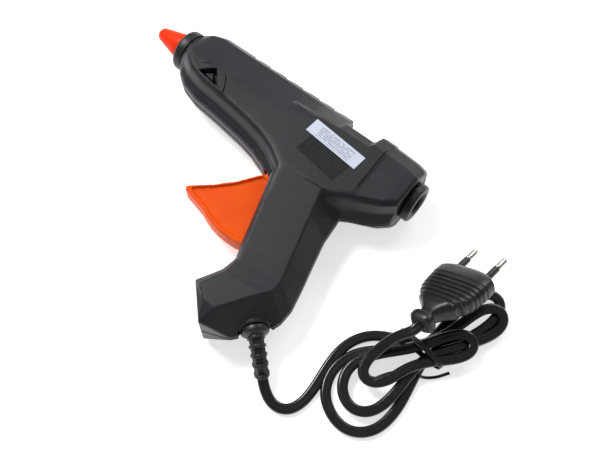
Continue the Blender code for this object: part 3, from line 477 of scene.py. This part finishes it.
def flat_cord(name, route, width, thick, mat, groove=0.45):
    """A flat twin cord: two round cores side by side with a groove between them."""
    outline = []
    steps = 9
    core = thick / 2
    shift = width / 2 - core
    for side in (1, -1):
        for i in range(steps):
            angle = math.radians(-112.0 + 224.0 * i / (steps - 1))
            outline.append((side * (shift + core * math.cos(angle)), side * core * math.sin(angle)))
    outline = [(x, y * (1.0 - (groove / core if abs(x) < shift * 0.5 else 0.0)))
               for x, y in outline]
    rings = []
    up = Vector((0.0, 0.0, 1.0))
    for i, point in enumerate(route):
        ahead = route[min(i + 1, len(route) - 1)]
        behind = route[max(i - 1, 0)]
        tangent = (ahead - behind).normalized()
        side = tangent.cross(up).normalized()
        lift = side.cross(tangent)
        rings.append([point + side * a + lift * b for a, b in outline])
    bm = bmesh.new()
    add_rings(bm, rings)
    return finish_object(name, bm, mat, 50.0)


def make_cord():
    jacket = moulded("cord_black", (0.004, 0.004, 0.005), (0.008, 0.008, 0.009), 0.18, 0.28,
                     grain=900.0, strength=0.06, coat=0.25)
    into_plug = [plug_point(along, 0.0, drop) for along, drop in ((-49.0, -1.2), (-44.0, 0.0),
                                                                  (-40.0, 0.0))]
    route = smooth_route(FREE_RUN + [hank_point(*p) for p in TURNS] + into_plug, 1.6)
    route = relaxed(route, 14)
    cord = flat_cord("mains_cord", route, CORD_WIDTH, CORD_THICK, jacket)
    length = sum((b - a).length for a, b in zip(route, route[1:])) * MM
    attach(cord, "gun")
    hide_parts("cord", "cord_hank")
    return cord, route, length


# ------------------------------------------------------------------ strain relief, tie and plug

GLAND = (70.2, -111.1)
GLAND_ANGLE = math.radians(-42.0)
RELIEF_LENGTH = 19.0
RELIEF_DROP = 9.8
RELIEF_BEND = 0.95                # radians at its free end


def relief_point(along):
    """The drooping axis of the cord's sleeve, and its direction there."""
    t = along / RELIEF_LENGTH
    x = GLAND[0] + math.cos(GLAND_ANGLE) * along
    y = GLAND[1] + math.sin(GLAND_ANGLE) * along
    slope = RELIEF_BEND * t if t > 0.0 else 0.0
    drop = RELIEF_DROP * t * t if t > 0.0 else 0.0
    direction = Vector((math.cos(GLAND_ANGLE) * math.cos(slope),
                        math.sin(GLAND_ANGLE) * math.cos(slope), -math.sin(slope)))
    return Vector((x, y, SIDE - drop)), direction


def tube_along(bm, stations, segments=28):
    rings = []
    for along, radius in stations:
        middle, direction = relief_point(along)
        side = Vector((-math.sin(GLAND_ANGLE), math.cos(GLAND_ANGLE), 0.0))
        up = direction.cross(side)
        rings.append([middle + side * (radius * math.cos(a)) + up * (radius * math.sin(a))
                      for a in (2 * math.pi * i / segments for i in range(segments))])
    add_rings(bm, rings)


def make_relief():
    rubber = moulded("relief_black", (0.014, 0.014, 0.016), (0.022, 0.022, 0.025), 0.34, 0.46,
                     grain=1800.0, coat=0.1)
    bm = bmesh.new()
    collar = rounded_profile([(-9.0, 0.5), (-9.0, 6.4), (-6.9, 6.4), (-6.9, 4.2), (-3.1, 4.2),
                              (-3.1, 7.5), (-0.6, 7.5), (0.6, 6.2), (0.6, 5.0), (1.4, 4.7),
                              (1.4, 0.5)], 0.5)
    tube_along(bm, collar)
    core = [(0.2 + 18.6 * i / 14, 3.0 - 0.25 * i / 14) for i in range(15)]
    tube_along(bm, core)
    for k in range(5):
        start = 1.2 + k * 4.05
        radius = 4.75 - 0.16 * k
        tube_along(bm, rounded_profile([(start, 2.0), (start, radius), (start + 1.5, radius),
                                        (start + 1.5, 2.0)], 0.35))
    for turn in range(4):
        base = math.radians(45.0 + 90.0 * turn)
        rings = []
        for i in range(13):
            along = 1.0 + 17.2 * i / 12
            middle, direction = relief_point(along)
            side = Vector((-math.sin(GLAND_ANGLE), math.cos(GLAND_ANGLE), 0.0))
            up = direction.cross(side)
            outer = 4.45 - 0.036 * along
            out = side * math.cos(base) + up * math.sin(base)
            across = -side * math.sin(base) + up * math.cos(base)
            rings.append([middle + out * r + across * w
                          for r, w in ((2.6, -1.3), (outer, -1.1), (outer, 1.1), (2.6, 1.3))])
        add_rings(bm, rings)
    relief = finish_object("strain_relief_ribbed", bm, rubber, 40.0)
    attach(relief, "gun")
    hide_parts("strain_relief")
    return relief


def ribbon(name, route, width, thick, mat):
    """A flat band along a route, its width in the plane across the bundle."""
    rings = []
    for i, point in enumerate(route):
        ahead, behind = route[min(i + 1, len(route) - 1)], route[max(i - 1, 0)]
        tangent = (ahead - behind).normalized()
        side = Vector((*ALONG, 0.0))
        side = (side - tangent * side.dot(tangent)).normalized()
        lift = side.cross(tangent)
        rings.append([point + side * (width * 0.5 * a) + lift * (thick * 0.5 * b)
                      for a, b in ((-1, -0.4), (-0.8, 1), (0.8, 1), (1, -0.4), (0, -1))])
    bm = bmesh.new()
    add_rings(bm, rings)
    return finish_object(name, bm, mat, 50.0)


TIE_MIDDLE = (34.5, -1.2, 6.9)    # along, across and height in the hank
TIE_HALF_WIDTH = 13.8
TIE_HALF_HEIGHT = 6.0
TIE_LEAN = 2.2


def make_tie():
    coated = moulded("tie_black", (0.008, 0.008, 0.009), (0.014, 0.014, 0.015), 0.28, 0.4,
                     grain=1500.0, coat=0.15)
    middle = hank_point(*TIE_MIDDLE)
    hoop = []
    for i in range(41):
        angle = math.radians(-80.0 + 360.0 * i / 40)
        flat = Vector((*ACROSS, 0.0)) * (TIE_HALF_WIDTH * math.cos(angle))
        squash = TIE_HALF_HEIGHT * math.copysign(abs(math.sin(angle)) ** 0.8, math.sin(angle))
        lean = Vector((*ALONG, 0.0)) * (TIE_LEAN * math.cos(angle))
        hoop.append(Vector(middle) + flat + lean + Vector((0.0, 0.0, squash)))
    band = ribbon("tie_band", hoop, 3.0, 0.9, coated)
    tails = []
    for name, points, size in (
            ("tie_tail_thick", [(143.0, -71.0, 7.5), (139.8, -76.6, 4.4), (134.8, -84.8, 9.2),
                                (130.6, -91.6, 9.0)], 1.25),
            ("tie_tail_thin", [(147.0, -74.4, 5.0), (150.6, -71.6, 1.6), (154.6, -67.8, 1.2),
                               (158.6, -62.2, 1.6)], 0.7)):
        route = smooth_route(points, 1.2)
        tail = flat_cord(name, route, size * 2.4, size * 1.2, coated, 0.2)
        tails.append(tail)
    for piece in [band] + tails:
        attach(piece, "gun")
        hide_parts("cable_tie")
    return [band] + tails


PLUG_ORIGIN = (138.2, -15.6, 14.6)
PLUG_YAW, PLUG_PITCH, PLUG_ROLL = (math.radians(a) for a in (84.0, 14.0, 32.0))


PIN_OFFSET = 9.3


def plug_axes():
    """The plug's forward, across and upward directions."""
    level = Vector((math.cos(PLUG_YAW), math.sin(PLUG_YAW), 0.0))
    forward = level * math.cos(PLUG_PITCH) - Vector((0.0, 0.0, math.sin(PLUG_PITCH)))
    flat = Vector((math.sin(PLUG_YAW), -math.cos(PLUG_YAW), 0.0))
    above = flat.cross(forward)
    across = flat * math.cos(PLUG_ROLL) + above * math.sin(PLUG_ROLL)
    return forward, across, across.cross(forward)


def plug_point(along, across, height):
    axes = plug_axes()
    return tuple(Vector(PLUG_ORIGIN) + axes[0] * along + axes[1] * across + axes[2] * height)


def plug_ring(along, wide, high, power=3.4, steps=32):
    ring = []
    for i in range(steps):
        angle = 2 * math.pi * (i + 0.5) / steps
        c, s = math.cos(angle), math.sin(angle)
        a = wide * math.copysign(abs(c) ** (2 / power), c)
        b = high * math.copysign(abs(s) ** (2 / power), s)
        ring.append(plug_point(along, a, b))
    return ring


def make_plug():
    rubber = moulded("plug_black", (0.007, 0.007, 0.009), (0.012, 0.012, 0.015), 0.32, 0.46,
                     grain=2200.0, strength=0.16, coat=0.08)
    bm = bmesh.new()
    stations = [(0.0, 13.2, 4.4), (-0.4, 14.2, 5.2), (-1.4, 14.8, 5.8), (-2.4, 16.4, 6.2),
                (-3.2, 17.2, 6.5), (-9.0, 17.6, 6.6)]
    stations += [(-9.4, 17.2, 6.2), (-10.4, 17.2, 6.2)]
    for k in range(6):
        start = -10.8 - 3.0 * k
        wide = 17.4 - 0.25 * k - (0.42 * (k - 2) ** 2 if k > 2 else 0.0)
        stations += [(start, wide, 6.6), (start - 1.5, wide - 0.1, 6.6),
                     (start - 1.9, wide - 0.7, 5.9), (start - 2.6, wide - 0.7, 5.9)]
    stations += [(-29.4, 11.6, 6.2), (-32.6, 7.4, 5.6), (-35.2, 5.2, 4.9), (-37.6, 4.3, 4.4),
                 (-38.4, 4.4, 4.5), (-39.2, 6.0, 5.4), (-40.6, 6.8, 5.8), (-43.0, 6.6, 5.6),
                 (-44.2, 5.4, 4.8), (-44.5, 4.0, 3.6)]
    add_rings(bm, [plug_ring(*row) for row in stations])
    body = finish_object("plug_moulding", bm, rubber, 32.0)
    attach(body, "gun")
    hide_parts("plug_body")
    sleeve = moulded("pin_sleeve_black", (0.014, 0.014, 0.015), (0.022, 0.022, 0.024), 0.3, 0.42)
    nickel = metal("pin_nickel_worn", (0.78, 0.76, 0.72), 0.16, 0.34, (1.0, 0.2, 1.0))
    forward = plug_axes()[0]
    pieces = [body]
    for tag, side in (("left", -PIN_OFFSET), ("right", PIN_OFFSET)):
        origin = plug_point(0.0, side, 0.0)
        cover = lathe("pin_cover_" + tag, [(0.2, 0.2), (0.2, 2.0), (10.1, 1.98), (10.1, 0.2)],
                      sleeve, origin, forward, 0.2, 28)
        pin = lathe("pin_" + tag, [(10.2, 0.2), (10.2, 1.95), (17.4, 2.0), (18.7, 1.5), (19.0, 0.9),
                                   (19.0, 0.1)], nickel, origin, forward, 0.5, 28)
        for piece, node, slot in ((cover, "plug_pin_sleeve_" + tag, "pin_sleeve"),
                                  (pin, "plug_pin_" + tag, "pin_nickel")):
            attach(piece, "gun")
            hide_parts(node)
            pieces.append(piece)
    return pieces


# ------------------------------------------------------------------ gun

def make_round_pieces():
    collar_mat = moulded("collar_black", (0.012, 0.013, 0.016), (0.019, 0.021, 0.025), 0.34, 0.46,
                         grain=2200.0, specular=0.34)
    silicone = moulded("sleeve_orange", (0.84, 0.026, 0.0), (0.92, 0.042, 0.0), 0.38, 0.5,
                       grain=1400.0, strength=0.1, specular=0.14)
    brass = metal("nozzle_metal", (0.42, 0.36, 0.30), 0.3, 0.5, (0.2, 1.0, 1.0))
    axis = (1.0, 0.0, 0.0)
    origin = (0.0, 0.0, SIDE)
    rows = [
        ("sleeve_cone", "nozzle_sleeve", "orange_silicone", silicone,
         [(-91.6, 2.6), (-92.0, 3.3), (-91.0, 3.9), (-77.0, 7.7), (-73.0, 7.7), (-73.0, 5.7),
          (-78.0, 4.95)], 0.5),
        ("nose_collar", "nozzle_collar", "black_plastic", collar_mat,
         [(-74.0, 8.1), (-74.4, 8.9), (-74.0, 10.6), (-73.0, 12.0), (-71.6, 12.4), (-67.5, 12.4),
          (-67.5, 11.0), (-62.6, 11.0), (-62.6, 8.6), (-66.0, 8.1)], 0.7),
        ("nozzle_tube", "nozzle", "nozzle_brass", brass,
         [(-93.0, 1.0), (-93.0, 2.1), (-90.5, 2.5), (-78.0, 4.6), (-72.0, 5.4), (-71.6, 7.0),
          (-66.5, 7.0), (-66.4, 4.6), (-58.2, 4.6), (-58.2, 3.2), (-76.0, 3.2), (-88.0, 1.0)], 0.25),
        ("inlet_collar", "rear_guide", "black_plastic", collar_mat,
         [(58.0, 6.2), (58.0, 8.2), (82.3, 8.2), (82.3, 10.8), (85.2, 10.8), (85.2, 8.7),
          (88.3, 8.7), (88.3, 10.4), (89.0, 11.3), (92.6, 11.3), (93.5, 10.2), (93.5, 7.6),
          (92.2, 6.2)], 0.45)]
    for name, node, slot, mat, profile, radius in rows:
        piece = lathe(name, profile, mat, origin, axis, radius, 72, closed=True)
        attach(piece, "gun")
        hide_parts(node)


def groove_cutter(name, points, width, low, high):
    """A thin wall along a line, which cuts a parting line into a skin."""
    pts = [Vector(p) for p in points]
    left, right = [], []
    for i, p in enumerate(pts):
        ahead, behind = pts[min(i + 1, len(pts) - 1)], pts[max(i - 1, 0)]
        tangent = (ahead - behind).normalized()
        normal = Vector((-tangent.y, tangent.x)) * width * 0.5
        left.append(p + normal)
        right.append(p - normal)
    outline = left + right[::-1]
    bm = bmesh.new()
    add_rings(bm, [[(p.x, p.y, z) for p in outline] for z in (low, high)])
    cutter = finish_object(name, bm, None)
    return cutter


def carve(obj, cutters):
    for cutter in cutters:
        mod = obj.modifiers.new(cutter.name, "BOOLEAN")
        mod.operation = "DIFFERENCE"
        mod.solver = "EXACT"
        mod.object = cutter
    apply_modifiers(obj)
    for cutter in cutters:
        bpy.data.objects.remove(cutter, do_unlink=True)


HOUSING_VOXEL = 0.55
BELLY_X = (-62.0, -45.0, -28.0, -8.0, 3.0, 12.0, 18.0, 24.0)
BELLY_Y = (-17.6, -25.0, -26.8, -29.6, -32.0, -35.2, -38.6, -42.6)
NOTCHES = (-34.6, -23.1, -11.2, 0.5, 12.3, 23.1)
STAND = [(-49.4, -14.2), (-41.9, -6.8), (-32.6, -16.8)]
STAND_PLATE = [(-45.4, -13.3), (-41.6, -10.4), (-38.4, -14.4)]
STAND_FLOOR = 12.0                # depths are measured from the parting plane
STAND_OUT = 22.0
STAND_PLATE_TOP = 15.6
STAND_PLATE_ROOT = 10.0
REAR_SEAM = [(64.6, 24.0), (64.6, 6.0), (65.0, -10.0), (65.2, -19.0)]
SOCKET_SEAM = [(-49.6, -8.6), (-45.2, -5.0), (-38.2, -5.2), (-34.0, -8.4), (-31.0, -12.4),
               (-28.6, -17.4), (-28.6, -21.0)]
BELLY_ROUNDS = 70
UPPER_ROUNDS = 50


def ramp(value, none, full):
    return min(max((value - none) / (full - none), 0.0), 1.0)


def belly_softness(point):
    """Where the lower facets of the barrel melt into each other, from 0 to 1."""
    x, y = point.x, point.y
    depth = abs(point.z - SIDE)
    low = float(np.interp(x, BELLY_X, BELLY_Y))
    reach = 8.0 if x < -30.0 else 8.0 + 6.0 * ramp(x, -30.0, -18.0)
    band = ramp(y, low + reach + 2.0, low + reach - 1.0)
    band *= ramp(x, 27.0, 21.0)
    band *= ramp(x, -64.0, -58.0)
    below = ramp(depth, 3.0, 6.0) if x < 4.0 else ramp(depth, 6.4, 9.0)
    root = ramp(math.hypot(x - 24.0, y + 36.0), 17.0, 8.0) * ramp(depth, 6.4, 9.0)
    rear = ramp(math.hypot(x - 66.0, y + 34.0), 13.0, 6.0) * ramp(depth, 3.0, 6.0)
    return max(band * below, root, rear)


def upper_softness(point):
    """Where the upper facet of the barrel melts into the side, from 0 to 1."""
    x, y = point.x, point.y
    low = ramp(y, -3.0, 0.0) if x < -26.0 else ramp(y, -9.5, -6.0)
    return ramp(y, 12.6, 10.6) * low * ramp(x, 33.0, 29.0) * ramp(x, -56.0, -50.0)


def melt(obj, softness, rounds):
    """Smooths a shell where softness, from 0 to 1, says so."""
    group = obj.vertex_groups.new(name="soft")
    for vertex in obj.data.vertices:
        weight = softness(vertex.co / MM - CENTRE)
        if weight > 0.02:
            group.add([vertex.index], weight, "REPLACE")
    mod = obj.modifiers.new("melt", "SMOOTH")
    mod.vertex_group = group.name
    mod.iterations = rounds
    mod.factor = 0.6
    apply_modifiers(obj)
    obj.vertex_groups.clear()


def prism(name, outline, low, high):
    bm = bmesh.new()
    add_rings(bm, [[(x, y, z) for x, y in outline] for z in (low, high)])
    return finish_object(name, bm, None)


def notch_cutters(tag):
    cutters = []
    for index, x in enumerate(NOTCHES):
        outline = [(x - 0.2, 17.2), (x + 5.8, 19.5), (x + 5.8, 22.0), (x - 0.9, 22.0),
                   (x - 0.9, 19.2)]
        cutters.append(prism("notch_%s_%d" % (tag, index), outline, SIDE - 7.2, SIDE + 7.2))
    return cutters


def stand_cutter(tag, sign):
    floor, out = SIDE + sign * STAND_FLOOR, SIDE + sign * STAND_OUT
    recess = prism("stand_" + tag, STAND, min(floor, out), max(floor, out))
    low, high = sorted((SIDE + sign * STAND_PLATE_ROOT, SIDE + sign * STAND_PLATE_TOP))
    carve(recess, [prism("plate_" + tag, STAND_PLATE, low, high)])
    return recess


def make_housing():
    black = housing_material()
    for tag, sign in (("left", 1), ("right", -1)):
        shell = softened("housing_" + tag, black, HOUSING_VOXEL, 3)
        melt(shell, belly_softness, BELLY_ROUNDS)
        melt(shell, upper_softness, UPPER_ROUNDS)
        low, high = (SIDE + 15.4, 40.0) if sign > 0 else (-6.0, SIDE - 15.4)
        deep, out = (SIDE + 16.0, 40.0) if sign > 0 else (-6.0, SIDE - 16.0)
        seam = groove_cutter("rear_seam" + tag, REAR_SEAM, 0.5, low, high)
        ring = groove_cutter("socket_seam" + tag, smooth_flat(SOCKET_SEAM), 0.6, deep, out)
        carve(shell, [seam, ring, stand_cutter(tag, sign)] + notch_cutters(tag))
        shade(shell, 60.0)
        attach(shell, "gun")
        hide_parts("housing_" + tag)


def smooth_flat(points):
    return [(p.x, p.y) for p in smooth_route([(x, y, 0.0) for x, y in points], 1.5)]


def make_trigger():
    orange = moulded("trigger_orange", (0.86, 0.080, 0.0), (0.92, 0.105, 0.0), 0.36, 0.5,
                     grain=1500.0, strength=0.14, specular=0.12)
    blade = softened("trigger", orange, 0.5, 2)
    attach(blade, "trigger")
    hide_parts("trigger")


def dress_nodes():
    """Better materials for the CAD nodes that keep their own shape."""
    steel = metal("steel_bright", (0.52, 0.53, 0.55), 0.22, 0.42)
    dark_steel = metal("steel_dark", (0.22, 0.22, 0.24), 0.3, 0.5)
    alloy = metal("alloy_cast", (0.60, 0.61, 0.63), 0.4, 0.62)
    looks = {
        "melt_chamber": alloy, "grip_lever": dark_steel, "heater_clip": steel, "seal_clamp": steel,
        "trigger_pin": steel, "drive_pin": steel, "grip_lever_pin": steel, "return_spring": steel,
        "cord_clamp_screw_1": dark_steel, "cord_clamp_screw_2": dark_steel,
        "ptc_heater": moulded("ceramic", (0.62, 0.58, 0.50), (0.74, 0.70, 0.63), 0.5, 0.7),
        "heater_insulator": moulded("film_amber", (0.42, 0.18, 0.03), (0.55, 0.26, 0.06),
                                    0.25, 0.4, coat=0.3),
        "stick_seal": moulded("seal_red", (0.38, 0.035, 0.02), (0.48, 0.05, 0.03), 0.5, 0.65),
        "feed_carriage": moulded("nylon_natural", (0.58, 0.57, 0.52), (0.68, 0.67, 0.62),
                                 0.42, 0.58),
        "cord_clamp": moulded("clamp_black", (0.02, 0.02, 0.023), (0.032, 0.033, 0.037), 0.4, 0.55),
        "cord_tail": moulded("tail_black", (0.010, 0.010, 0.011), (0.018, 0.018, 0.02), 0.25, 0.4),
        "live_wire": moulded("wire_brown", (0.14, 0.05, 0.015), (0.20, 0.07, 0.02), 0.3, 0.45),
        "neutral_wire": moulded("wire_blue", (0.015, 0.06, 0.28), (0.02, 0.09, 0.36), 0.3, 0.45),
        "rating_label": label_material()}
    for i in range(1, 8):
        looks["housing_screw_%d" % i] = dark_steel
    for node, mat in looks.items():
        for slot in NODES[node].material_slots:
            slot.material = mat


make_camera()
make_stage()
cord, cord_route, cord_length = make_cord()
relief = make_relief()
tie = make_tie()
plug = make_plug()
make_round_pieces()
make_housing()
make_trigger()
dress_nodes()
